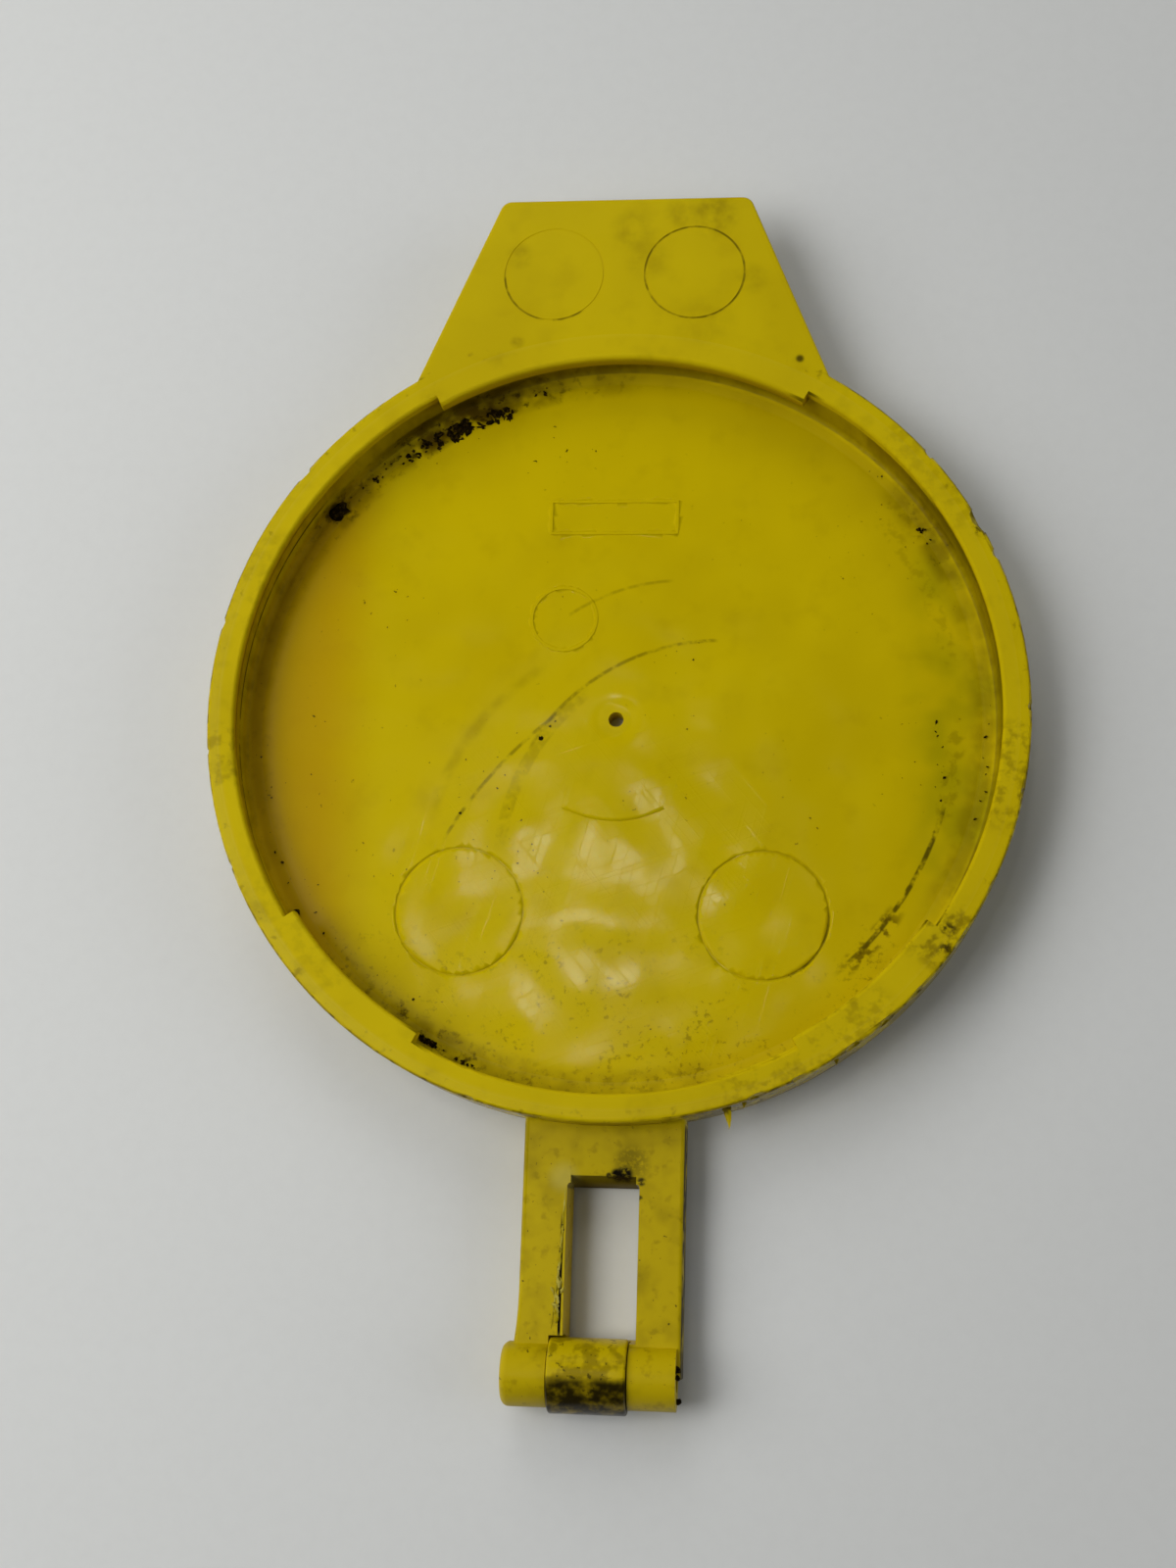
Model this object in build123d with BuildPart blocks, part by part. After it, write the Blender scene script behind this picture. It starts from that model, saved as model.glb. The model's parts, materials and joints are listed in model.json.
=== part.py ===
from build123d import *
import os

# Hinged push-on protective cap, lying open on its back.
# Frame: origin at the centre of the disc's back face, +Z out of the open dish,
# +Y towards the thumb tab, X along the hinge pin. Millimetres.

# ---- disc and rim ----
disc_radius = 31.8
floor_thickness = 1.9
dish_depth = 4.3              # inside floor to the rim's top land
rim_top = floor_thickness + dish_depth
rim_land_radius = 29.65       # inner edge of the top land
rim_land_height = 0.9
undercut = 0.15               # the wall steps out this much below the land
back_edge_radius = 1.0
rim_edge_radius = 0.3
floor_fillet = 0.6
vent_radius = 0.6
vent_y = 0.0

# ---- snap lips: each one is (middle, sweep) in degrees, clockwise from the tab ----
lip_inner_radius = 28.85
lip_top_rounding = 0.35
lip_land = 0.8                # upright face that grips the mating flange
lip_lead_out = 0.55           # height of the slope under the lip
lips = [(0.0, 60.0), (137.75, 26.5), (-138.0, 27.0)]
pad_middle, pad_sweep = 156.5, 11.0   # thickened patch of wall beside one lip
pad_thickness = 0.15

# ---- thumb tab ----
tab_tip_y = 43.0
tab_tip_half_width = 10.1
tab_root_y = 26.5
tab_side_slope = 0.406        # half width gained for each millimetre towards the disc
tab_thickness = 2.6
tab_corner_radius = 1.0
tab_edge_radius = 0.25

# ---- hinge arm ----
hinge_y = -49.75
hinge_z = 2.7
arm_left, arm_right = -5.8, 6.25
arm_flare = 0.65              # the left edge runs out this far at the barrel
arm_flare_start_y = -44.0
arm_root_y = -30.5            # buried in the rim's wall
arm_bottom, arm_top = 0.45, 3.45
arm_edge_radius = 0.35
window_left, window_right = -2.46, 2.9
window_head_y = -36.0
window_head_slope = 0.8       # the head wall leans back this far over the arm's thickness
window_foot_y = -47.4
window_draft = 4.0            # degrees; the window is wider at the top
window_corner_radius = 0.25

# ---- hinge barrel, pin and sleeve ----
barrel_left, barrel_right = -6.85, 5.9
knuckle_radius = 2.3
knuckle_edge_radius = 0.6
pin_radius = 1.0
pin_left, pin_right = -5.9, 5.7
sleeve_left, sleeve_right = -3.4, 2.34
sleeve_radius = 2.7
sleeve_edge_radius = 0.15
running_clearance = 0.05      # on radius, sleeve on pin
sleeve_end_gap = 0.08
sleeve_pocket_gap = 0.2


def radial_plane(clockwise_degrees):
    """The upright half-plane through +Z at an angle clockwise from +Y: local x is outwards, local y is up."""
    return Plane.XZ.rotated((0, 0, 90 - clockwise_degrees))


def across(x):
    """A plane square to the hinge axis at x, centred on that axis."""
    return Plane(origin=(x, hinge_y, hinge_z), x_dir=(0, 1, 0), z_dir=(1, 0, 0))


# ---- thumb tab: joined to the cap shell below, flush with the rim's top land ----
mid_wall_radius = (rim_land_radius + disc_radius) / 2
tab_root_half_width = tab_tip_half_width + tab_side_slope * (tab_tip_y - tab_root_y)

with BuildPart() as thumb_tab:
    with BuildSketch(Plane.XY.offset(rim_top - tab_thickness)) as tab_outline:
        with BuildLine():
            Polyline(
                (-tab_root_half_width, tab_root_y),
                (-tab_tip_half_width, tab_tip_y),
                (tab_tip_half_width, tab_tip_y),
                (tab_root_half_width, tab_root_y),
                close=True,
            )
        make_face()
        fillet(tab_outline.vertices().group_by(Axis.Y)[-1], tab_corner_radius)
        Circle(mid_wall_radius, mode=Mode.SUBTRACT)
    extrude(amount=tab_thickness)
    flat_faces = thumb_tab.faces().filter_by(Axis.Z)
    free_edges = flat_faces.edges().filter_by(
        lambda e: e.center().X ** 2 + e.center().Y ** 2 > mid_wall_radius**2
    )
    fillet(free_edges, tab_edge_radius)

# ---- hinge arm: a flat strap from the rim to the barrel, joined to the cap shell below ----
with BuildPart() as hinge_arm:
    with BuildSketch(Plane.XY.offset(arm_bottom)) as arm_outline:
        with BuildLine():
            flare_end = (arm_left - arm_flare, hinge_y)
            Polyline(
                flare_end,
                (arm_right, hinge_y),
                (arm_right, arm_root_y),
                (arm_left, arm_root_y),
                (arm_left, arm_flare_start_y),
            )
            TangentArc((arm_left, arm_flare_start_y), flare_end, tangent=(0, -1))
        make_face()
    extrude(amount=arm_top - arm_bottom)
    side_faces = hinge_arm.faces().filter_by(lambda f: abs(f.normal_at().X) > 0.7)
    long_edges = side_faces.edges().filter_by(lambda e: abs(e.tangent_at(0.5).Z) < 0.1)
    fillet(long_edges, arm_edge_radius)

# ---- cap shell: one moulding of disc, rim, lips, tab, arm and outer knuckles ----
land_bottom = rim_top - rim_land_height
wall_radius = rim_land_radius + undercut

with BuildPart() as cap_shell:
    # disc and rim in one section, turned about Z
    with BuildSketch(radial_plane(0)) as rim_section:
        with BuildLine():
            Polyline(
                (0, 0),
                (disc_radius, 0),
                (disc_radius, rim_top),
                (rim_land_radius, rim_top),
                (rim_land_radius, land_bottom),
                (wall_radius, land_bottom),
                (wall_radius, floor_thickness),
                (0, floor_thickness),
                close=True,
            )
        make_face()
        fillet(rim_section.vertices().group_by(Axis.Y)[0].sort_by(Axis.X)[-1], back_edge_radius)
        fillet(rim_section.vertices().group_by(Axis.Y)[-1], rim_edge_radius)
        floor_ends = rim_section.vertices().filter_by(lambda v: abs(v.Y - floor_thickness) < 0.01)
        fillet(floor_ends.sort_by(Axis.X)[-1], floor_fillet)
    revolve(axis=Axis.Z)

    add(thumb_tab.part)
    add(hinge_arm.part)

    # hinge barrel
    with BuildSketch(across(barrel_left)):
        Circle(knuckle_radius)
    extrude(amount=barrel_right - barrel_left)

    # snap lips
    lip_bottom = rim_top - lip_top_rounding - lip_land - lip_lead_out
    for middle, sweep in lips:
        with BuildSketch(radial_plane(middle + sweep / 2)) as lip_section:
            with BuildLine():
                Polyline(
                    (wall_radius + 0.3, rim_top),
                    (lip_inner_radius, rim_top),
                    (lip_inner_radius, lip_bottom + lip_lead_out),
                    (wall_radius, lip_bottom),
                    (wall_radius + 0.3, lip_bottom),
                    close=True,
                )
            make_face()
            fillet(lip_section.vertices().group_by(Axis.Y)[-1].sort_by(Axis.X)[0], lip_top_rounding)
        revolve(axis=Axis.Z, revolution_arc=sweep)

    # thickened patch of wall
    with BuildSketch(radial_plane(pad_middle + pad_sweep / 2)):
        with Locations((wall_radius, (rim_top + floor_thickness) / 2)):
            Rectangle(2 * (undercut + pad_thickness), dish_depth - 2 * rim_edge_radius)
    revolve(axis=Axis.Z, revolution_arc=pad_sweep)

    # window through the arm
    with BuildSketch(Plane.XY.offset(arm_top)) as window_outline:
        with BuildLine():
            Polyline(
                (window_left, window_foot_y),
                (window_left, window_head_y),
                (window_right, window_head_y),
                (window_right, window_foot_y),
                close=True,
            )
        make_face()
        fillet(window_outline.vertices().group_by(Axis.Y)[-1], window_corner_radius)
    extrude(amount=-(arm_top - arm_bottom), taper=window_draft, mode=Mode.SUBTRACT)

    with BuildSketch(Plane.YZ.offset(window_left + window_corner_radius)):
        Polygon(
            (window_head_y - 0.2, arm_bottom),
            (window_head_y - 0.2 + window_head_slope, arm_top),
            (window_head_y - 0.2, arm_top),
            align=None,
        )
    extrude(amount=window_right - window_left - 2 * window_corner_radius, mode=Mode.SUBTRACT)

    # pocket for the sleeve, between the two knuckles
    with BuildSketch(across(sleeve_left - sleeve_end_gap)):
        Circle(sleeve_radius + sleeve_pocket_gap)
    extrude(amount=sleeve_right - sleeve_left + 2 * sleeve_end_gap, mode=Mode.SUBTRACT)

    # pin hole: closed at the left end of the barrel, open at the right
    with BuildSketch(across(pin_left)):
        Circle(pin_radius)
    extrude(amount=barrel_right - pin_left, mode=Mode.SUBTRACT)

    # vent through the middle of the floor
    with BuildSketch(Plane.XY):
        with Locations((0, vent_y)):
            Circle(vent_radius)
    extrude(amount=floor_thickness, mode=Mode.SUBTRACT)

    # softened moulded edges
    end_rims = cap_shell.edges().filter_by(GeomType.CIRCLE).filter_by(
        lambda e: abs(e.radius - knuckle_radius) < 0.01
    )
    fillet(end_rims.group_by(Axis.X)[0], knuckle_edge_radius)
cap_shell.part.label = "cap_shell"

# ---- hinge sleeve: the proud centre section that the cap turns on ----
with BuildPart() as hinge_sleeve:
    with BuildSketch(across(sleeve_left)):
        Circle(sleeve_radius)
        Circle(pin_radius + running_clearance, mode=Mode.SUBTRACT)
    extrude(amount=sleeve_right - sleeve_left)
    outer_rims = hinge_sleeve.edges().filter_by(lambda e: e.geom_type == GeomType.CIRCLE and e.radius > 2)
    fillet(outer_rims, sleeve_edge_radius)
hinge_sleeve.part.label = "hinge_sleeve"

# ---- hinge pin: pressed into the outer knuckles ----
with BuildPart() as hinge_pin:
    with BuildSketch(across(pin_left)):
        Circle(pin_radius)
    extrude(amount=pin_right - pin_left)
    chamfer(hinge_pin.edges().filter_by(GeomType.CIRCLE), 0.15)
hinge_pin.part.label = "hinge_pin"

os.makedirs("parts", exist_ok=True)
for piece in (cap_shell, hinge_sleeve, hinge_pin):
    export_step(piece.part, f"parts/{piece.part.label}.step")
    print(piece.part.label, round(piece.part.volume, 1), piece.part.bounding_box())
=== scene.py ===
"""Looks of a hinged push-on protective cap: yellow moulded polypropylene, scuffed and grimy from use.

The cap lies open on its back on a pale table. Sizes here are in millimetres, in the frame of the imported
model, and turn to metres where a mesh, a light or the camera is made.
"""

import json
import logging
import math
import random
from dataclasses import dataclass
from enum import Enum
from typing import Any, Callable, ClassVar, Sequence

import bmesh
import bpy
from bmesh.types import BMesh
from bpy.types import Material, Node, NodeSocket, NodeTree, Object
from mathutils import Matrix, Vector, noise


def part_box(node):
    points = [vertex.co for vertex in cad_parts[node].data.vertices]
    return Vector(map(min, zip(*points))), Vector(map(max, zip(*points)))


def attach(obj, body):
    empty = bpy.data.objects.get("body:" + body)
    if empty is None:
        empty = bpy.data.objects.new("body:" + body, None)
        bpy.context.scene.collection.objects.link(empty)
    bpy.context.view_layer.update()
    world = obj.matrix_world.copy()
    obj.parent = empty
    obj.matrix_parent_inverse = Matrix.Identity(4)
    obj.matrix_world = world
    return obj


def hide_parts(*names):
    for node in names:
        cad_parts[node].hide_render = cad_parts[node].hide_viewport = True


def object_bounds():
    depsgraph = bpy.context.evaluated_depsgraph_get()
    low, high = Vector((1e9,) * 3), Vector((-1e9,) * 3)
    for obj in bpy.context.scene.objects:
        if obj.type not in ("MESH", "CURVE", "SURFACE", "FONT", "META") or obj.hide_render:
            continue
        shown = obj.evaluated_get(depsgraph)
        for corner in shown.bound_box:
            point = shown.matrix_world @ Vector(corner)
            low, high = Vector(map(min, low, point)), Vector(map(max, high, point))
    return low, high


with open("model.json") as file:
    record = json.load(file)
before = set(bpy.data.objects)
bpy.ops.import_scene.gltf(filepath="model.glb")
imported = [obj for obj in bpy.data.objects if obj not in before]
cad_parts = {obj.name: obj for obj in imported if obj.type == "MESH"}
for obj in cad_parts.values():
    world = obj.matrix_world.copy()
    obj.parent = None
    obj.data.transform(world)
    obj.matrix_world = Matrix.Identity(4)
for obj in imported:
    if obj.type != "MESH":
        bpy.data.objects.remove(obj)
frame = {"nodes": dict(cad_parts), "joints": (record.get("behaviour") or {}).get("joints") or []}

LOG = logging.getLogger("cap")
MM = 0.001
CAD_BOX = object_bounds()
CAP_BODY = "cap"
MOUNT_BODY = "hinge_mount"

Point = tuple[float, float, float]
Layer = NodeSocket | tuple[float, float, float, float] | float
MADE: dict[str, Node] = {}      # every node made so far, by its recipe
PLAN = (1.0, 1.0, 0.0)          # leaves a vector's part in the plan view
ALL_ROUND = (-200.0, 200.0)     # a span of bearings that takes in the whole circle


# ---- small helpers ----


def linear(hex_colour: str) -> tuple[float, float, float, float]:
    """Turns an sRGB hex value into the linear colour that a shader socket takes.

    Args:
        hex_colour: six hex digits, such as "C1AB00".

    Returns:
        Linear red, green, blue and an alpha of 1.
    """
    channels = [int(hex_colour[i : i + 2], 16) / 255 for i in (0, 2, 4)]
    red, green, blue = (c / 12.92 if c <= 0.04045 else ((c + 0.055) / 1.055) ** 2.4 for c in channels)
    return red, green, blue, 1.0


def add_node(tree: NodeTree, kind: str, inputs: dict[Any, Any] | None = None, **settings: Any) -> Node:
    """Adds a node, sets its properties, and fills its inputs with values or links.

    A node that would repeat one that the tree already has isn't made again; the first one is returned.

    Args:
        tree: the node tree to add to.
        kind: the node's type name.
        inputs: input name or index to a value, or to the output socket that feeds it.
        **settings: the node's own properties.

    Returns:
        The node.
    """
    fed = {
        key: (value.node.name, value.identifier) if isinstance(value, NodeSocket) else value
        for key, value in (inputs or {}).items()
    }
    recipe = repr((tree.as_pointer(), kind, fed, settings))
    if recipe in MADE:
        return MADE[recipe]
    node = tree.nodes.new(kind)
    for name, value in settings.items():
        setattr(node, name, value)
    for key, value in (inputs or {}).items():
        if isinstance(value, NodeSocket):
            tree.links.new(value, node.inputs[key])
        else:
            node.inputs[key].default_value = value
    MADE[recipe] = node
    return node


def bearing_point(clockwise_degrees: float, radius: float, height: float) -> Vector:
    """The point at an angle clockwise from the thumb tab, seen from above, in millimetres."""
    angle = math.radians(clockwise_degrees)
    return Vector((radius * math.sin(angle), radius * math.cos(angle), height))


def object_from_bmesh(name: str, shape: BMesh) -> Object:
    """Turns a bmesh in millimetres into a linked object in metres, and frees the bmesh.

    Args:
        name: the new object's name.
        shape: the closed shape, in millimetres.

    Returns:
        The new object, at the origin.
    """
    bmesh.ops.recalc_face_normals(shape, faces=shape.faces)
    bmesh.ops.scale(shape, vec=(MM, MM, MM), verts=shape.verts)
    mesh = bpy.data.meshes.new(name)
    shape.to_mesh(mesh)
    shape.free()
    obj = bpy.data.objects.new(name, mesh)
    bpy.context.scene.collection.objects.link(obj)
    return obj


def bake_modifiers(obj: Object) -> None:
    """Replaces an object's mesh by what its modifiers make of it, and drops the modifiers.

    Args:
        obj: the object to change.
    """
    bpy.context.view_layer.update()
    evaluated = obj.evaluated_get(bpy.context.evaluated_depsgraph_get())
    mesh = bpy.data.meshes.new_from_object(evaluated)
    obj.modifiers.clear()
    old = obj.data
    obj.data = mesh
    bpy.data.meshes.remove(old)


class Cut(Enum):
    """What a boolean does with the second shape."""

    REMOVE = "DIFFERENCE"
    JOIN = "UNION"


def carve(obj: Object, tool: Object, cut: Cut) -> None:
    """Cuts a tool out of an object or joins it on, and deletes the tool.

    Args:
        obj: the object to change.
        tool: a closed mesh.
        cut: whether the tool is removed or joined.
    """
    modifier = obj.modifiers.new(tool.name, "BOOLEAN")
    modifier.object = tool
    modifier.operation = cut.value
    modifier.solver = "EXACT"
    bake_modifiers(obj)
    mesh = tool.data
    bpy.data.objects.remove(tool)
    bpy.data.meshes.remove(mesh)


def soften(obj: Object, crease_degrees: float) -> None:
    """Shades a mesh smooth between creases, with flat faces kept flat.

    Args:
        obj: the object to shade.
        crease_degrees: edges that bend more than this stay sharp.
    """
    mesh = obj.data
    mesh.polygons.foreach_set("use_smooth", [True] * len(mesh.polygons))
    mesh.set_sharp_from_angle(angle=math.radians(crease_degrees))
    weighted = obj.modifiers.new("weighted", "WEIGHTED_NORMAL")
    weighted.keep_sharp = True
    bake_modifiers(obj)


def add_lump(shape: BMesh, centre: Vector, sizes: Point, turn: float, seed: float, rough: float) -> None:
    """Adds a small irregular closed lump to a bmesh.

    Args:
        shape: the bmesh, in millimetres.
        centre: the lump's middle.
        sizes: half sizes along x, y and z before the turn.
        turn: degrees about Z.
        seed: where in the noise field the lump takes its shape from.
        rough: how far its surface departs from an ellipsoid.
    """
    made = bmesh.ops.create_icosphere(shape, subdivisions=2, radius=1.0)["verts"]
    spin = Matrix.Rotation(math.radians(turn), 3, "Z")
    for vert in made:
        swell = 1 + rough * noise.noise(vert.co * 1.7 + Vector((seed, seed * 0.7, -seed)))
        stretched = Vector(a * b * swell for a, b in zip(vert.co, sizes))
        vert.co = centre + spin @ stretched


def bridge(shape: BMesh, rows: Sequence[Sequence[Any]], closed: bool = False) -> None:
    """Joins rows of points, each row a ring, by rings of quads.

    Args:
        shape: the bmesh that holds the points.
        rows: rings with the same number of vertices.
        closed: whether the last row joins the first; if not, both are capped.
    """
    sides = len(rows[0])
    for i in range(len(rows) if closed else len(rows) - 1):
        here, there = rows[i], rows[(i + 1) % len(rows)]
        for j in range(sides):
            k = (j + 1) % sides
            shape.faces.new((here[j], here[k], there[k], there[j]))
    if not closed:
        shape.faces.new(rows[0])
        shape.faces.new(reversed(rows[-1]))


def flat_ground(_x: float, _y: float) -> float:
    """Ground with no unevenness."""
    return 0.0


def ring_path(centre: Vector, radius: float, span: tuple[float, float] = (0.0, 360.0)) -> list[Vector]:
    """Points round a circle or an arc.

    Args:
        centre: the circle's middle.
        radius: its radius in millimetres.
        span: start and end bearing in degrees, clockwise from +Y; the end of a full turn isn't repeated.

    Returns:
        Points about 3 degrees apart.
    """
    start, end = span
    steps = max(8, int(abs(end - start) / 3))
    count = steps if abs(end - start) >= 360 else steps + 1
    return [centre + bearing_point(start + (end - start) * i / steps, radius, 0.0) for i in range(count)]


def frame_path(centre: Vector, length: float, width: float, step: float = 0.4) -> list[Vector]:
    """Points round a rectangle, clockwise from its upper left corner.

    Args:
        centre: the rectangle's middle.
        length: its size along x.
        width: its size along y.
        step: about how far apart the points are.

    Returns:
        The points; the first isn't repeated.
    """
    corners = [(-length, width), (length, width), (length, -width), (-length, -width)]
    points = []
    for i, corner in enumerate(corners):
        here = centre + Vector((*corner, 0.0)) / 2
        there = centre + Vector((*corners[(i + 1) % 4], 0.0)) / 2
        count = max(2, round((there - here).length / step))
        points += [here.lerp(there, j / count) for j in range(count)]
    return points


def add_track(
    shape: BMesh,
    path: Sequence[Vector],
    section: tuple[float, float],
    closed: bool = True,
    ground: Callable[[float, float], float] = flat_ground,
) -> None:
    """Adds a bar of rectangular section that follows a path over uneven ground.

    Args:
        shape: the bmesh, in millimetres.
        path: the bar's middle line, level.
        section: width and height of the bar.
        closed: whether the path's end joins its start.
        ground: height to add at a place in the plan, in millimetres.
    """
    width, height = section
    count = len(path)
    rows = []
    for i, spot in enumerate(path):
        before = path[(i - 1) % count] if closed or i else spot
        after = path[(i + 1) % count] if closed or i < count - 1 else spot
        along = (after - before).normalized()
        side = Vector((along.y, -along.x, 0.0)) * width / 2
        rise = Vector((0.0, 0.0, height / 2))
        middle = spot + Vector((0.0, 0.0, ground(spot.x, spot.y)))
        corners = (middle - side - rise, middle + side - rise, middle + side + rise, middle - side + rise)
        rows.append([shape.verts.new(corner) for corner in corners])
    bridge(shape, rows, closed)


# ---- finishes ----


class Coat:
    """A finish built up in layers: a base plastic or metal, then stains and wear where a mask puts them."""

    def __init__(self, name: str, base: str, roughness: float) -> None:
        """Starts a material with one colour and one roughness.

        Args:
            name: the material's name.
            base: sRGB hex of the clean surface.
            roughness: roughness of the clean surface.
        """
        self.material = bpy.data.materials.new(name)
        self.material.use_nodes = True
        self.tree = self.material.node_tree
        self.tree.nodes.clear()
        place = add_node(self.tree, "ShaderNodeTexCoord").outputs["Object"]
        scaled = add_node(self.tree, "ShaderNodeVectorMath", {0: place, "Scale": 1 / MM}, operation="SCALE")
        self.place = scaled.outputs["Vector"]
        split = add_node(self.tree, "ShaderNodeSeparateXYZ", {0: self.place})
        self.x, self.y, self.z = split.outputs
        self.radius = self._plan_length(self.place)
        self.bearing = self._plan_bearing(self.x, self.y)
        self.colour: Layer = linear(base)
        self.roughness: Layer = roughness

    def _plan_length(self, vector: NodeSocket) -> NodeSocket:
        """Length of a vector in the plan view."""
        flat = add_node(self.tree, "ShaderNodeVectorMath", {0: vector, 1: PLAN}, operation="MULTIPLY")
        length = add_node(self.tree, "ShaderNodeVectorMath", {0: flat.outputs[0]}, operation="LENGTH")
        return length.outputs["Value"]

    def _plan_bearing(self, x: NodeSocket, y: NodeSocket) -> NodeSocket:
        """Bearing in degrees, clockwise from +Y, of a direction in the plan view."""
        turn = add_node(self.tree, "ShaderNodeMath", {0: x, 1: y}, operation="ARCTAN2")
        return add_node(self.tree, "ShaderNodeMath", {0: turn.outputs[0]}, operation="DEGREES").outputs[0]

    def _away_from(self, centre: tuple[float, float]) -> NodeSocket:
        """Vector from a point in the plan view."""
        ends = {0: self.place, 1: (*centre, 0.0)}
        return add_node(self.tree, "ShaderNodeVectorMath", ends, operation="SUBTRACT").outputs[0]

    def distance_to(self, centre: tuple[float, float]) -> NodeSocket:
        """Distance in the plan view, in millimetres, from a point."""
        return self._plan_length(self._away_from(centre))

    def bearing_about(self, centre: tuple[float, float]) -> NodeSocket:
        """Bearing in degrees, clockwise from +Y, about a point in the plan view."""
        split = add_node(self.tree, "ShaderNodeSeparateXYZ", {0: self._away_from(centre)})
        return self._plan_bearing(split.outputs[0], split.outputs[1])

    def between(self, value: NodeSocket, low: float, high: float, soft: float) -> NodeSocket:
        """A mask that is 1 from low to high and fades to 0 over a soft margin outside.

        Args:
            value: the socket to test.
            low: where full cover starts.
            high: where full cover ends.
            soft: width of the fade on each side.

        Returns:
            The mask's socket.
        """
        ramps = []
        for start, end in ((low - soft, low), (high + soft, high)):
            ramp = add_node(
                self.tree,
                "ShaderNodeMapRange",
                {"Value": value, "From Min": start, "From Max": end},
                interpolation_type="SMOOTHSTEP",
            )
            ramps.append(ramp.outputs[0])
        return self.all_of(*ramps)

    def _fold(self, masks: Sequence[NodeSocket | float], operation: str) -> NodeSocket:
        """Combines masks into one, two at a time."""
        total = masks[0]
        for mask in masks[1:]:
            pair = {0: total, 1: mask}
            total = add_node(self.tree, "ShaderNodeMath", pair, operation=operation).outputs[0]
        return total

    def all_of(self, *masks: NodeSocket | float) -> NodeSocket:
        """The product of several masks or factors."""
        return self._fold(masks, "MULTIPLY")

    def either(self, *masks: NodeSocket) -> NodeSocket:
        """The strongest of several masks."""
        return self._fold(masks, "MAXIMUM")

    def blotches(
        self,
        size: float,
        cover: tuple[float, float],
        stretch: Point = (1.0, 1.0, 1.0),
        shift: float = 0.0,
        detail: float = 2.5,
    ) -> NodeSocket:
        """A mask of irregular patches.

        Args:
            size: patch size in millimetres.
            cover: noise values where the patches begin and are full; higher values leave fewer patches.
            stretch: scale along x, y and z; below 1 lengthens the patches that way.
            shift: moves the pattern, so that two layers differ.
            detail: octaves of finer edge.

        Returns:
            The mask's socket.
        """
        moved = add_node(
            self.tree,
            "ShaderNodeMapping",
            {"Vector": self.place, "Location": (shift, -shift, shift), "Scale": stretch},
        )
        grain = add_node(
            self.tree,
            "ShaderNodeTexNoise",
            {"Vector": moved.outputs[0], "Scale": 1 / size, "Detail": detail, "Roughness": 0.6},
        )
        edge = add_node(
            self.tree,
            "ShaderNodeMapRange",
            {"Value": grain.outputs[0], "From Min": cover[0], "From Max": cover[1]},
            interpolation_type="SMOOTHSTEP",
        )
        return edge.outputs[0]

    def scratches(self, turn: float, length: float = 5.0, width: float = 0.10) -> NodeSocket:
        """A mask of sparse hairline scratches that run one way, drawn as wide as they need to show.

        Args:
            turn: direction in degrees from +X.
            length: typical length in millimetres.
            width: typical width in millimetres.

        Returns:
            The mask's socket.
        """
        along = {
            "Vector": self.place,
            "Rotation": (0.0, 0.0, math.radians(turn)),
            "Scale": (length / width, 1.0, 1.0),
        }
        turned = add_node(self.tree, "ShaderNodeMapping", along, vector_type="TEXTURE").outputs[0]
        fine = {"Vector": turned, "Scale": 0.5 / width, "Detail": 0.0}
        lines = add_node(self.tree, "ShaderNodeTexNoise", fine).outputs[0]
        sparse = {"Value": lines, "From Min": 0.64, "From Max": 0.72}
        return add_node(self.tree, "ShaderNodeMapRange", sparse).outputs[0]

    def lay(self, colour: str, *masks: NodeSocket | float, roughness: float | None = None) -> None:
        """Lays a colour, and a roughness if one is given, over the finish where all the masks are 1.

        Args:
            colour: sRGB hex of the layer.
            *masks: where it lies, multiplied together.
            roughness: its roughness.
        """
        mask = self.all_of(*masks)
        layers = {0: mask, 6: self.colour, 7: linear(colour)}       # 6 and 7 are the two colours
        self.colour = add_node(self.tree, "ShaderNodeMix", layers, data_type="RGBA").outputs[2]
        if roughness is not None:
            self.polish(mask, roughness)

    def polish(self, mask: NodeSocket, roughness: float) -> None:
        """Changes only the roughness where a mask is 1."""
        layers = {0: mask, 2: self.roughness, 3: roughness}         # 2 and 3 are the two numbers
        self.roughness = add_node(self.tree, "ShaderNodeMix", layers, data_type="FLOAT").outputs[0]

    def close(
        self,
        relief: Sequence[tuple[NodeSocket, float]],
        specular: float,
        metallic: float = 0.0,
        ior: float | None = None,
    ) -> Material:
        """Connects the layers to the shader.

        Args:
            relief: height patterns, each 0 to 1, with its depth in millimetres.
            specular: specular level; 0.5 is what the IOR alone gives.
            metallic: 1 for a metal.
            ior: index of refraction of a plastic.

        Returns:
            The finished material.
        """
        normal = None
        for pattern, depth in relief:
            inputs = {"Height": pattern, "Distance": depth * MM, "Strength": 1.0}
            if normal is not None:
                inputs["Normal"] = normal
            normal = add_node(self.tree, "ShaderNodeBump", inputs).outputs[0]
        inputs = {
            "Base Color": self.colour,
            "Roughness": self.roughness,
            "Metallic": metallic,
            "Specular IOR Level": specular,
        }
        if ior is not None:
            inputs["IOR"] = ior
        if normal is not None:
            inputs["Normal"] = normal
        shader = add_node(self.tree, "ShaderNodeBsdfPrincipled", inputs)
        add_node(self.tree, "ShaderNodeOutputMaterial", {"Surface": shader.outputs[0]})
        return self.material


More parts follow.
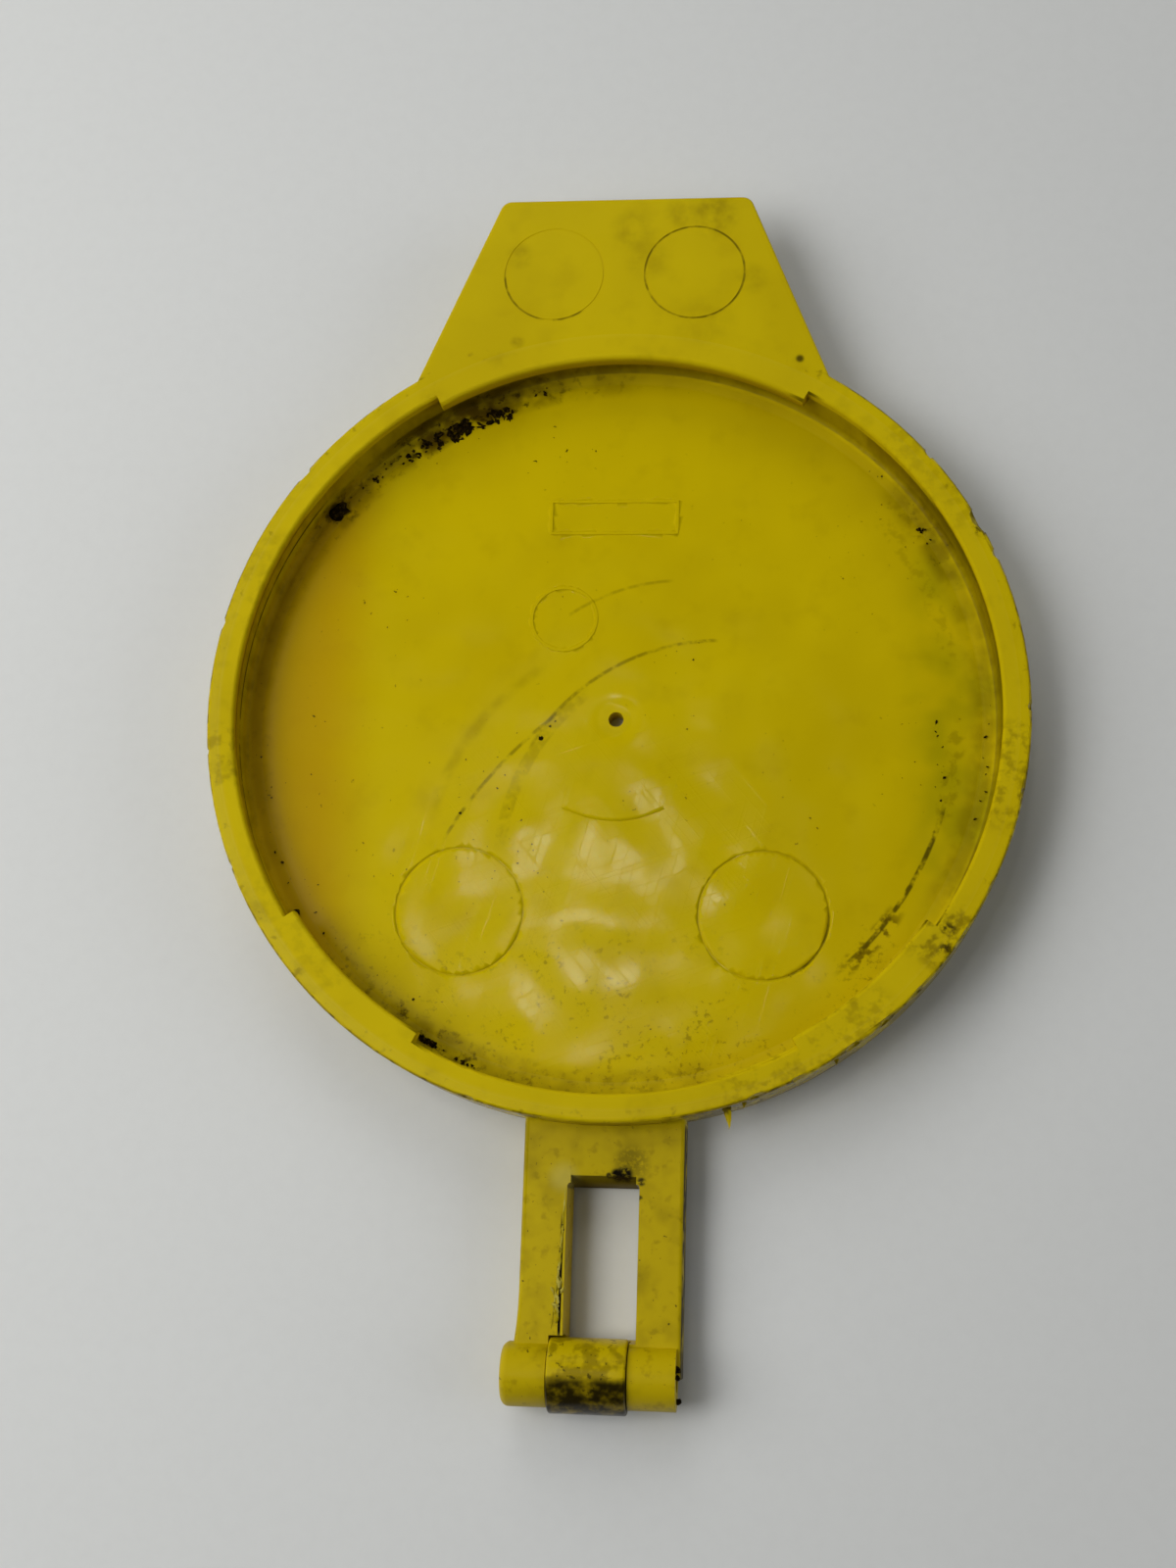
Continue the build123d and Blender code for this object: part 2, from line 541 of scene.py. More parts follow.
@dataclass(frozen=True)
class MouldedPolypropylene:
    """Polypropylene from a polished tool: saturated, slightly waxy, glossy where nothing rubs it."""

    name: str = "moulded yellow polypropylene"
    clean: str = "CBB300"
    tired: str = "AC9300"       # sun and hands darken the plastic in broad patches
    smudge_and_shadow: str = "7E6C00"      # greasy film of finger marks; also the colour of a painted shadow band beside a scuff on the floor
    # painted shade: a warmer, darker yellow for the floor along the left wall, as it looks in that wall's
    # shade with yellow bounce light
    warm_shade: str = "B88A00"
    greenish: str = "838200"    # algae film in the damp corner
    film: str = "5E4A00"        # thin brown road film; also the colour of painted shade on the inner walls and in the floor's corner
    # grime is also the colour of painted shade on the window's head wall and in the floor's corner
    grime: str = "261A02"
    soot: str = "0B0703"
    chalk: str = "CFC163"       # stress whitening
    gloss: float = 0.26         # worn gloss of the outside
    polish: float = 0.145       # tool polish of the dish's floor
    gutter: float = 0.8         # dusty corner between floor and wall
    wall: float = 0.4
    scuffed: float = 0.45       # arm, rubbed by hands
    specular: float = 0.25
    ior: float = 1.49
    peel_depth: float = 0.0007
    scratch_depth: float = 0.005

    def make(self, shell: "CapShell", arm: "HingeArm") -> Material:
        """Builds the finish of the cap, with its dirt where use has put it and painted shade in its corners,
        on a shaded wall and at the window.

        Args:
            shell: gives the sizes of the disc and rim.
            arm: gives the place of the arm and its window.

        Returns:
            The material.
        """
        coat = Coat(self.name, self.clean, self.gloss)
        self._tone(coat, shell)
        self._floor_marks(coat, shell)
        self._gutter(coat, shell)
        self._rim(coat, shell)
        self._tab(coat, shell)
        self._arm(coat, arm)
        self._back(coat)
        orange_peel = coat.blotches(0.6, (0.2, 0.8), detail=1.0)
        relief = [(orange_peel, self.peel_depth)]
        rubbed = coat.between(coat.distance_to((-1.0, -15.0)), 0.0, 11.0, 7.0)
        for turn in (20.0, 75.0, 130.0):
            relief.append((coat.all_of(coat.scratches(turn), rubbed), self.scratch_depth))
        return coat.close(relief, specular=self.specular, ior=self.ior)

    def _tone(self, coat: Coat, shell: "CapShell") -> None:
        """Broad shifts of tone over the whole moulding, and painted shade along the left of the floor.

        Args:
            coat: the finish being built.
            shell: sizes of the disc and rim.
        """
        coat.lay(self.tired, coat.blotches(11.0, (0.35, 0.75)), 0.3)
        coat.lay(self.tired, coat.blotches(3.0, (0.5, 0.8), shift=31.0), 0.3)
        # painted shade: the floor and the foot of the wall on the left are painted warmer and darker,
        # standing in for the left wall's shade and its yellow bounce light
        left = coat.between(coat.x, -40.0, -24.0, 6.0)
        low = coat.between(coat.z, shell.floor - 0.3, shell.floor + 0.5, 0.6)
        coat.lay(self.warm_shade, left, low, 0.6)
        right = coat.between(coat.x, 25.5, 40.0, 4.0)
        damp = coat.between(coat.z, shell.floor - 1, shell.rim_top - 0.6, 0.4)
        coat.lay(self.greenish, right, damp, coat.blotches(6.0, (0.3, 0.6)), 0.5)

    def _gutter(self, coat: Coat, shell: "CapShell") -> None:
        """Grime packed into the corner between floor and wall, partly painted shade, and painted shade on
        the inner wall under the tab.

        Args:
            coat: the finish being built.
            shell: sizes of the disc and rim.
        """
        low = coat.between(coat.z, 0.0, shell.floor + 0.9, 0.5)
        near = coat.between(coat.radius, shell.wall_radius - 1.6, shell.wall_radius + 0.5, 1.1)
        corner = coat.all_of(low, near)
        flecks = coat.blotches(0.7, (0.54, 0.66), detail=5.0)
        haze = coat.blotches(2.2, (0.32, 0.62), shift=7.0)
        dusty = coat.between(coat.radius, shell.wall_radius - 1.0, shell.disc_radius - 1.2, 0.4)
        coat.polish(dusty, self.gutter)
        # darker patches round the corner between floor and wall: the strong ones at the top left are packed
        # dirt, the faint ones elsewhere are partly painted shade of the corner
        for middle, half, dark, brown in (
            (-29.0, 6.0, 1.0, 1.0),
            (-24.0, 10.0, 0.7, 0.6),
            (-46.0, 9.0, 0.5, 0.4),
            (-10.0, 8.0, 0.3, 0.3),
            (-82.0, 28.0, 0.12, 0.15),
            (58.0, 6.0, 0.3, 0.5),
            (95.0, 22.0, 0.08, 0.3),
            (195.0, 28.0, 0.25, 0.25),
            (-152.0, 5.0, 0.7, 0.3),
        ):
            here = coat.between(coat.bearing, middle - half, middle + half, 6.0)
            if middle + half > 180:
                wrapped = coat.between(coat.bearing, middle - half - 360, middle + half - 360, 6.0)
                here = coat.either(here, wrapped)
            coat.lay(self.film, corner, here, haze, brown)
            coat.lay(self.grime, corner, here, flecks, dark)
        on_wall = coat.between(coat.radius, shell.land_radius - 0.1, shell.wall_radius + 0.1, 0.1)
        left_side = coat.between(coat.bearing, -125.0, -58.0, 8.0)
        for level in (shell.land_bottom - 0.05, shell.land_bottom - 1.6):
            line = coat.between(coat.z, level - 0.07, level + 0.07, 0.08)
            coat.lay(self.grime, line, on_wall, left_side, coat.blotches(1.5, (0.3, 0.5)))
        inside = coat.between(coat.z, shell.floor, shell.land_bottom, 0.2)
        coat.lay(self.film, on_wall, inside, coat.blotches(1.2, (0.4, 0.7), stretch=(1.0, 1.0, 0.3)), 0.3)
        # painted shade: the inner wall under the tab, which faces away from the light, is darkened with the
        # film colour; round the right side the same layer is a stain
        shaded_side = coat.between(coat.bearing, -40.0, 112.0, 14.0)
        coat.lay(self.film, on_wall, inside, shaded_side, 0.42)
        coat.polish(coat.all_of(on_wall, inside), self.wall)

    def _floor_marks(self, coat: Coat, shell: "CapShell") -> None:
        """Tool polish, scuffs, specks, a painted shadow beside a scuff and the print of the mating rim on
        the floor of the dish.

        Args:
            coat: the finish being built.
            shell: sizes of the disc and rim.
        """
        on_floor = coat.between(coat.z, shell.floor - 0.3, shell.floor + 0.35, 0.1)
        within = coat.between(coat.radius, -1.0, shell.wall_radius - 3.0, 1.5)
        coat.polish(coat.all_of(on_floor, within), self.polish)
        specks = coat.blotches(0.5, (0.70, 0.73), detail=2.0, shift=3.0)
        thick = coat.blotches(9.0, (0.42, 0.62), shift=11.0)
        coat.lay(self.grime, on_floor, specks, thick)
        low_side = coat.between(coat.y, -30.0, -20.0, 5.0)
        crumbly = coat.blotches(0.45, (0.56, 0.70), shift=5.0)
        coat.lay(self.film, on_floor, low_side, crumbly, coat.blotches(5.0, (0.4, 0.6), shift=2.0), 0.5)
        for centre, radius, reach, width, strength in (
            ((8.2, -10.6), 17.1, (-6.0, 7.2), 0.05, 0.5),
            ((16.7, -26.3), 34.2, (-12.6, -5.0), 0.05, 0.5),
            ((8.6, -11.4), 17.4, (-9.5, -3.0), 0.4, 0.22),
            ((5.0, -4.0), 15.5, (-3.5, 3.5), 0.04, 0.3),
        ):
            away = coat.distance_to(centre)
            line = coat.between(away, radius - width, radius + width, 0.17)
            here = coat.between(coat.x, *reach, 1.0)
            broken = coat.blotches(0.9, (0.3, 0.6), shift=radius)
            above = coat.between(coat.y, -9.0, 12.0, 2.0)
            coat.lay(self.grime, on_floor, line, here, above, broken, strength)
        # painted shadow: a soft darker band beside the scuff, laid in the smudge colour
        edge = coat.between(coat.distance_to((5.5, -12.6)), 20.3, 20.5, 0.6)
        beside = coat.between(coat.x, -13.5, -6.5, 1.5)
        shadow = coat.all_of(edge, beside, coat.between(coat.y, -7.0, 8.0, 1.0))
        coat.lay(self.smudge_and_shadow, on_floor, shadow, coat.blotches(2.0, (0.3, 0.7)), 0.3)
        print_line = coat.between(coat.radius, 26.25, 26.45, 0.16)
        lower_right = coat.between(coat.bearing, 107.0, 136.0, 4.0)
        coat.lay(self.grime, on_floor, print_line, lower_right, coat.blotches(1.1, (0.36, 0.56)), 0.8)
        wide = coat.between(coat.radius, 26.1, 26.9, 0.5)
        for middle, half, strength in ((131.0, 4.0, 0.8), (99.0, 6.0, 0.3), (66.0, 12.0, 0.2)):
            here = coat.between(coat.bearing, middle - half, middle + half, 4.0)
            patch = coat.blotches(0.8, (0.46, 0.62), shift=middle)
            coat.lay(self.film, on_floor, wide, here, patch, strength)
        across, along = shell.floor_pad
        arcs = ((-1, ALL_ROUND, 0.10), (1, ALL_ROUND, 0.16), (1, (95.0, 150.0), 0.6))
        for side, span, strength in arcs:
            self._ring_dirt(coat, (side * across, along), shell.floor_pad_radius, span, strength)

    def _ring_dirt(
        self,
        coat: Coat,
        centre: tuple[float, float],
        radius: float,
        span: tuple[float, float],
        strength: float,
    ) -> None:
        """Dirt drawn into the groove round an ejector mark.

        Args:
            coat: the finish being built.
            centre: the mark's middle in the plan.
            radius: the mark's radius.
            span: start and end bearing about that middle.
            strength: how dark the dirt is.
        """
        groove = coat.between(coat.distance_to(centre), radius - 0.05, radius + 0.05, 0.08)
        here = coat.between(coat.bearing_about(centre), *span, 12.0)
        broken = coat.blotches(1.2, (0.25, 0.6), shift=radius + span[0])
        coat.lay(self.grime, groove, here, broken, strength)

    def _rim(self, coat: Coat, shell: "CapShell") -> None:
        """Rubbed and dirty edges and top of the rim.

        Args:
            coat: the finish being built.
            shell: sizes of the disc and rim.
        """
        outer = coat.between(coat.radius, shell.disc_radius - 0.1, 60.0, 0.1)
        band = coat.all_of(outer, coat.between(coat.y, -31.2, 27.0, 0.5))
        coat.lay(self.film, band, coat.blotches(2.4, (0.35, 0.62), stretch=(1.0, 1.0, 0.6)), 0.6)
        coat.lay(self.grime, band, coat.blotches(0.9, (0.50, 0.66), shift=51.0, detail=4.0), 0.7)
        land = coat.all_of(
            coat.between(coat.z, shell.rim_top - 0.5, 9.0, 0.2),
            coat.between(coat.radius, shell.lip_radius, shell.disc_radius, 0.3),
            coat.between(coat.y, -33.0, 29.0, 1.0),
        )
        coat.lay(self.smudge_and_shadow, land, coat.blotches(2.4, (0.5, 0.8), shift=19.0), 0.25)
        edge = coat.between(coat.radius, shell.disc_radius - 0.6, shell.disc_radius, 0.5)
        coat.lay(self.film, land, edge, coat.blotches(1.1, (0.60, 0.70), shift=29.0), 0.4)
        for middle, half, strength in (
            (125.0, 3.0, 0.6),
            (150.0, 12.0, 0.3),
            (100.0, 6.0, 0.4),
            (-98.0, 3.0, 0.35),
            (-70.0, 6.0, 0.15),
            (-128.0, 9.0, 0.15),
            (52.0, 8.0, 0.2),
        ):
            here = coat.between(coat.bearing, middle - half, middle + half, 3.0)
            patch = coat.blotches(0.9, (0.45, 0.66), shift=middle)
            coat.lay(self.film, land, here, patch, strength)
        spots = ((124.0, 30.6, 0.3), (122.0, 29.4, 0.2), (126.5, 31.3, 0.3), (63.0, 31.7, 0.5))
        for bearing, radius, size in spots:
            place = bearing_point(bearing, radius, 0.0)
            spot = coat.between(coat.distance_to((place.x, place.y)), 0.0, size, 0.5)
            coat.lay(self.grime, land, spot, coat.blotches(0.5, (0.4, 0.6), shift=radius), 0.85)

    def _tab(self, coat: Coat, shell: "CapShell") -> None:
        """Finger smudges and dirt on the thumb tab.

        Args:
            coat: the finish being built.
            shell: sizes of the disc and rim.
        """
        on_tab = coat.between(coat.y, shell.lip_radius - 2.0, 50.0, 0.5)
        for x, y, size, strength in (
            (7.2, 41.4, 1.7, 0.6),
            (4.6, 41.6, 1.2, 0.4),
            (0.6, 40.2, 1.6, 0.3),
            (1.8, 37.5, 1.5, 0.28),
            (10.2, 35.6, 1.2, 0.3),
            (-8.6, 38.0, 1.0, 0.35),
            (-8.5, 30.4, 0.5, 0.6),
            (6.5, 32.0, 2.2, 0.22),
        ):
            spot = coat.between(coat.distance_to((x, y)), 0.0, size * 0.5, size)
            coat.lay(self.smudge_and_shadow, on_tab, spot, coat.blotches(1.3, (0.2, 0.75), shift=x), strength)
        dot = coat.between(coat.distance_to((14.2, 28.6)), 0.0, 0.14, 0.32)
        coat.lay(self.grime, on_tab, dot, 0.85)
        side = coat.between(coat.z, shell.rim_top - 2.3, shell.rim_top - 0.28, 0.12)
        beyond = coat.between(coat.radius, shell.disc_radius, 60.0, 0.1)
        tab_side = coat.all_of(side, beyond, coat.between(coat.y, shell.lip_radius - 2.0, 42.0, 0.5))
        coat.lay(self.grime, tab_side, coat.blotches(1.4, (0.40, 0.62), shift=3.0), 0.8)
        across, along = shell.tab_pad
        arcs = ((-1, (150.0, 260.0), 0.55), (-1, (-160.0, -90.0), 0.55), (1, ALL_ROUND, 0.6))
        for side, span, strength in arcs:
            self._ring_dirt(coat, (side * across, along), shell.tab_pad_radius, span, strength)

    def _arm(self, coat: Coat, arm: "HingeArm") -> None:
        """Hand-dirtied, scuffed arm, with grime and painted shade at the window and whitening at its corner.

        Args:
            coat: the finish being built.
            arm: places of the arm and its window.
        """
        on_arm = coat.between(coat.y, -60.0, arm.root_y, 0.5)
        coat.polish(on_arm, self.scuffed)
        coat.lay(self.tired, on_arm, 0.35)
        coat.lay(self.smudge_and_shadow, on_arm, coat.blotches(2.6, (0.42, 0.75), shift=23.0), 0.42)
        coat.lay(self.film, on_arm, coat.blotches(0.9, (0.56, 0.74), shift=27.0), 0.3)
        coat.lay(self.grime, on_arm, coat.blotches(0.45, (0.69, 0.73), shift=2.0), 0.8)
        for x, y, size, strength in (
            (arm.window_right - 1.1, arm.head_y + 0.1, 0.55, 1.0),
            (arm.window_right - 1.7, arm.head_y + 0.05, 0.45, 1.0),
            (arm.window_right - 2.3, arm.head_y, 0.2, 0.9),
            (arm.window_right + 0.15, arm.head_y - 0.4, 0.3, 0.9),
            (arm.window_right + 0.05, arm.head_y - 1.6, 0.2, 0.8),
            (arm.window_right - 0.6, arm.head_y + 0.9, 1.2, 0.4),
        ):
            spot = coat.between(coat.distance_to((x, y)), 0.0, 0.6 * size, 0.8 * size)
            patch = coat.blotches(0.35, (0.30, 0.52), shift=x + y)
            coat.lay(self.soot, on_arm, spot, patch, strength)
        # painted shade: the window's head wall, which faces away from the light, is darkened with the grime
        # colour
        across = coat.between(coat.x, arm.window_left - 0.1, arm.window_right + 0.1, 0.1)
        shaded_head_wall = coat.all_of(across, coat.between(coat.y, arm.head_y - 0.9, arm.head_y + 0.1, 0.15))
        coat.lay(self.grime, shaded_head_wall, coat.between(coat.z, 0.0, arm.top - 0.3, 0.2), 0.8)
        split = coat.between(coat.x, arm.window_left - 0.34, arm.window_left - 0.20, 0.06)
        split = coat.all_of(split, coat.between(coat.y, arm.foot_y + 0.4, arm.head_y - 3.6, 1.0))
        coat.lay(self.soot, split, coat.between(coat.z, arm.top - 0.3, 9.0, 0.1))
        corner = coat.distance_to((arm.window_left - 0.3, arm.head_y - 0.2))
        coat.lay(self.chalk, on_arm, coat.between(corner, 0.0, 0.3, 1.2), 0.35)
        side = coat.between(coat.x, arm.right - 0.06, arm.right + 0.5, 0.05)
        coat.lay(self.soot, on_arm, side, coat.blotches(2.0, (0.34, 0.56)), 0.9)

    def _back(self, coat: Coat) -> None:
        """Road film on the weathered side that faces out when the cap is shut.

        Args:
            coat: the finish being built.
        """
        under = coat.between(coat.z, -1.0, 0.35, 0.4)
        coat.lay(self.smudge_and_shadow, under, coat.blotches(9.0, (0.4, 0.7), shift=41.0), 0.4, roughness=0.35)
        speckle = coat.blotches(0.9, (0.58, 0.72), shift=47.0, detail=4.0)
        coat.lay(self.film, under, speckle, 0.45, roughness=0.5)


@dataclass(frozen=True)
class WornSleevePlastic:
    """Polypropylene rubbed matt by the eye it turned in, with black wear dust ground into its lower half."""

    name: str = "worn yellow polypropylene"
    clean: str = "BFA700"
    rubbed: str = "6E5C00"
    soot: str = "120C02"
    gloss: float = 0.28
    ior: float = 1.49

    def make(self, axis: Vector) -> Material:
        """Builds the finish.

        Args:
            axis: a point on the hinge axis, in millimetres.

        Returns:
            The material.
        """
        coat = Coat(self.name, self.clean, self.gloss)
        coat.lay(self.rubbed, coat.blotches(1.4, (0.45, 0.6), shift=4.0), 0.6)
        lower = coat.between(coat.y, -80.0, axis.y - 0.5, 0.7)
        coat.lay(self.rubbed, lower, 0.8)
        coat.lay(self.soot, lower, coat.blotches(1.0, (0.22, 0.60), shift=9.0), 0.94)
        coat.lay(self.soot, coat.blotches(0.5, (0.60, 0.72), shift=1.0), 0.7)
        pitted = coat.blotches(0.4, (0.3, 0.7), detail=5.0)
        return coat.close([(pitted, 0.006)], specular=0.25, ior=self.ior)


@dataclass(frozen=True)
class DrawnSteel:
    """Drawn steel pin, dulled: a grey metal with fine rings on its cut ends and brown rust in the pits."""

    name: str = "drawn steel"
    clean: str = "8D8A85"
    rust: str = "4B2A16"
    roughness: float = 0.42

    def make(self) -> Material:
        """Builds the finish and returns it."""
        coat = Coat(self.name, self.clean, self.roughness)
        coat.lay(self.rust, coat.blotches(0.5, (0.48, 0.6)), roughness=0.8)
        rings = coat.blotches(0.15, (0.3, 0.7), stretch=(0.1, 1.0, 1.0))
        return coat.close([(rings, 0.01)], specular=0.5, metallic=1.0)


@dataclass(frozen=True)
class RoadGrime:
    """Dried road dirt and rubber dust: crumbly, matt, almost black."""

    name: str = "dried road grime"
    dark: str = "1A1204"
    dusty: str = "46360C"

    def make(self) -> Material:
        """Builds the finish and returns it."""
        coat = Coat(self.name, self.dark, 0.9)
        coat.lay(self.dusty, coat.blotches(0.3, (0.45, 0.7)), roughness=0.95)
        crumbs = coat.blotches(0.12, (0.2, 0.8), detail=5.0)
        return coat.close([(crumbs, 0.06)], specular=0.1, ior=1.5)


@dataclass(frozen=True)
class TornEdgePlastic:
    """Torn polypropylene: whitened where it has stretched, with a fibrous matt surface."""

    name: str = "torn whitened polypropylene"
    pale: str = "BDB04A"
    yellow: str = "A89600"
    dirt: str = "2A2008"

    def make(self) -> Material:
        """Builds the finish and returns it."""
        coat = Coat(self.name, self.yellow, 0.5)
        coat.lay(self.pale, coat.blotches(0.7, (0.4, 0.6), stretch=(1.0, 0.4, 1.0)), roughness=0.7)
        coat.lay(self.dirt, coat.blotches(0.3, (0.6, 0.7), shift=3.0), roughness=0.8)
        fibres = coat.blotches(0.12, (0.3, 0.7), stretch=(1.0, 0.3, 1.0))
        return coat.close([(fibres, 0.03)], specular=0.4, ior=1.49)


@dataclass(frozen=True)
class PaleTable:
    """Matt white laminate table top: even and pale, with barely visible grain."""

    name: str = "matt laminate"
    tone: str = "DDDEDB"
    grain: str = "CFCFCC"

    def make(self) -> Material:
        """Builds the finish and returns it."""
        coat = Coat(self.name, self.tone, 0.75)
        coat.lay(self.grain, coat.blotches(1.2, (0.3, 0.8)), 0.12)
        return coat.close([], specular=0.3)


# ---- sub-assemblies ----


@dataclass
class CapShell:
    """The one yellow moulding: disc, rim, snap lips, tab, arm and outer knuckles."""

    disc_radius: float
    rim_top: float
    floor: float = 1.9
    land_radius: float = 29.65
    wall_radius: float = 29.8
    lip_radius: float = 28.85
    land_height: float = 0.9
    crease: float = 32.0

    # floor skin: shallow sink marks that the flat design face doesn't have
    skin_radius: float = 29.15
    skin_lift: float = 0.095
    swell_depth: float = 0.072
    swell_size: float = 3.6
    ripple_depth: float = 0.007
    ripple_size: float = 1.3
    pad_dish: float = 0.03
    pad_pimple: float = 0.075
    pimple_shift: tuple[float, float] = (-1.4, 1.6)
    pimple_radius: float = 2.0
    skin_hole: float = 0.85

    # witness marks of ejector pins and of the round insert
    floor_pad: tuple[float, float] = (11.75, -15.5)
    floor_pad_radius: float = 5.0
    tab_pad: tuple[float, float] = (5.7, 36.3)
    tab_pad_radius: float = 4.03
    insert_radius: float = 8.25
    insert_span: tuple[float, float] = (151.0, 209.0)
    witness_width: float = 0.11
    witness_depth: float = 0.04

    @property
    def land_bottom(self) -> float:
        """Height of the underside of the rim's land."""
        return self.rim_top - self.land_height

    # nicks in the rim's outer edge: bearing, width and depth
    NICKS: ClassVar[tuple[Point, ...]] = (
        (50.0, 1.0, 0.30),
        (62.0, 2.6, 0.60),
        (67.5, 1.0, 0.35),
        (90.0, 0.8, 0.32),
        (102.0, 0.7, 0.32),
        (116.0, 1.2, 0.18),
        (123.0, 1.1, 0.22),
        (133.0, 1.2, 0.25),
        (139.0, 1.3, 0.30),
        (144.5, 1.4, 0.35),
        (153.0, 1.0, 0.25),
        (159.0, 1.3, 0.30),
        (-162.0, 0.9, 0.25),
        (-114.0, 0.8, 0.22),
        (-97.0, 0.7, 0.18),
        (-78.0, 0.9, 0.25),
        (-53.0, 1.5, 0.32),
    )

    def build(self) -> Object:
        """Makes the moulding's finished mesh from the design's exact shape.

        Returns:
            The object, which stands for the design's cap shell.
        """
        source = frame["nodes"]["cap_shell"]
        obj = bpy.data.objects.new("cap_moulding", source.data.copy())
        obj.data.materials.clear()
        bpy.context.scene.collection.objects.link(obj)
        self._weld(obj)
        carve(obj, self._floor_skin(), Cut.JOIN)
        carve(obj, self._blank_marks(), Cut.JOIN)
        carve(obj, self._witness_grooves(), Cut.REMOVE)
        carve(obj, self._nicks(), Cut.REMOVE)
        soften(obj, self.crease)
        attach(obj, CAP_BODY)
        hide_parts("cap_shell")
        return obj

    def _weld(self, obj: Object) -> None:
        """Joins vertices that lie on each other, and drops the split normals that came with them.

        Args:
            obj: the moulding.
        """
        shape = bmesh.new()
        shape.from_mesh(obj.data)
        bmesh.ops.remove_doubles(shape, verts=shape.verts, dist=0.0005 * MM)
        bmesh.ops.dissolve_limit(shape, angle_limit=math.radians(0.3), verts=shape.verts, edges=shape.edges)
        mesh = bpy.data.meshes.new("cap_moulding")
        shape.to_mesh(mesh)
        shape.free()
        obj.data = mesh

    def _sink(self, x: float, y: float) -> float:
        """Height of the floor's skin above the design's flat floor, in millimetres.

        Args:
            x: place in the plan.
            y: place in the plan.

        Returns:
            The height, which fades out at the rim and the vent.
        """
        where = Vector((x, y, 0.0))
        height = self.skin_lift + self.swell_depth * noise.noise(where / self.swell_size)
        height += self.ripple_depth * noise.noise(where / self.ripple_size + Vector((9.0, 2.0, 0.0)))
        for side in (-1, 1):
            across, along = x - side * self.floor_pad[0], y - self.floor_pad[1]
            away = math.hypot(across, along) / self.floor_pad_radius
            if away < 1:
                height -= self.pad_dish * (1 - away**2)
                top_x, top_y = self.pimple_shift
                top = math.hypot(across - top_x, along - top_y) / self.pimple_radius
                height += self.pad_pimple * (1 - away**2) * math.exp(-(top**2))
        radius = math.hypot(x, y)
        rim = min(1.0, max(0.0, (self.skin_radius - radius) / 1.6))
        hole = min(1.0, max(0.0, (radius - self.skin_hole) / 1.2))
        fade = rim * rim * (3 - 2 * rim) * hole * hole * (3 - 2 * hole)
        return height * fade - 0.03 * (1 - fade)

    def _floor_skin(self) -> Object:
        """A thin disc with a softly uneven top that lies in the floor, open at the vent."""
        turns, rings = 260, 72
        shape = bmesh.new()
        bottom = self.floor - 0.5
        rows = []
        for i in range(rings + 1):
            radius = self.skin_hole + (self.skin_radius - self.skin_hole) * i / rings
            row = []
            for j in range(turns):
                at = bearing_point(360 * j / turns, radius, 0.0)
                row.append(shape.verts.new((at.x, at.y, self.floor + self._sink(at.x, at.y))))
            rows.append(row)
        for radius in (self.skin_radius, self.skin_hole):
            ring = (bearing_point(360 * j / turns, radius, bottom) for j in range(turns))
            rows.append([shape.verts.new(spot) for spot in ring])
        bridge(shape, rows, closed=True)
        return object_from_bmesh("floor_skin", shape)

    def _blank_marks(self) -> Object:
        """Plain raised outlines where the tool has blank inserts: a round one and a long one."""
        shape = bmesh.new()
        rise, height, line = 0.05, 0.3, 0.22
        middle = self.floor + rise - height / 2
        circle = ring_path(Vector((-4.4, 8.3, middle)), 2.6)
        oblong = frame_path(Vector((-0.6, 16.9, middle)), 10.2, 2.7)
        for path in (circle, oblong):
            add_track(shape, path, (line, height), ground=self._sink)
        return object_from_bmesh("blank_marks", shape)

    def _witness_grooves(self) -> Object:
        """The fine circular grooves that ejector pins and the round insert leave."""
        shape = bmesh.new()
        deep = 0.4
        section = (self.witness_width, deep)
        floor_level = self.floor - self.witness_depth + deep / 2
        tab_level = self.rim_top - self.witness_depth + deep / 2
        for side in (-1, 1):
            pad = Vector((side * self.floor_pad[0], self.floor_pad[1], floor_level))
            add_track(shape, ring_path(pad, self.floor_pad_radius), section, ground=self._sink)
            tab = Vector((side * self.tab_pad[0], self.tab_pad[1], tab_level))
            add_track(shape, ring_path(tab, self.tab_pad_radius), section)
        middle = Vector((0.0, 0.0, floor_level + 0.4 * self.witness_depth))
        arc = ring_path(middle, self.insert_radius, self.insert_span)
        add_track(shape, arc, (0.7 * self.witness_width, deep), closed=False, ground=self._sink)
        return object_from_bmesh("witness_grooves", shape)

    def _nicks(self) -> Object:
        """Irregular bites out of the rim's outer edge."""
        shape = bmesh.new()
        for i, (bearing, width, depth) in enumerate(self.NICKS):
            at = bearing_point(bearing, self.disc_radius + 0.05, self.rim_top - 0.1)
            add_lump(shape, at, (width / 2, depth + 0.05, 0.5 + depth), -bearing, 3.1 * i, rough=0.5)
        return object_from_bmesh("nicks", shape)


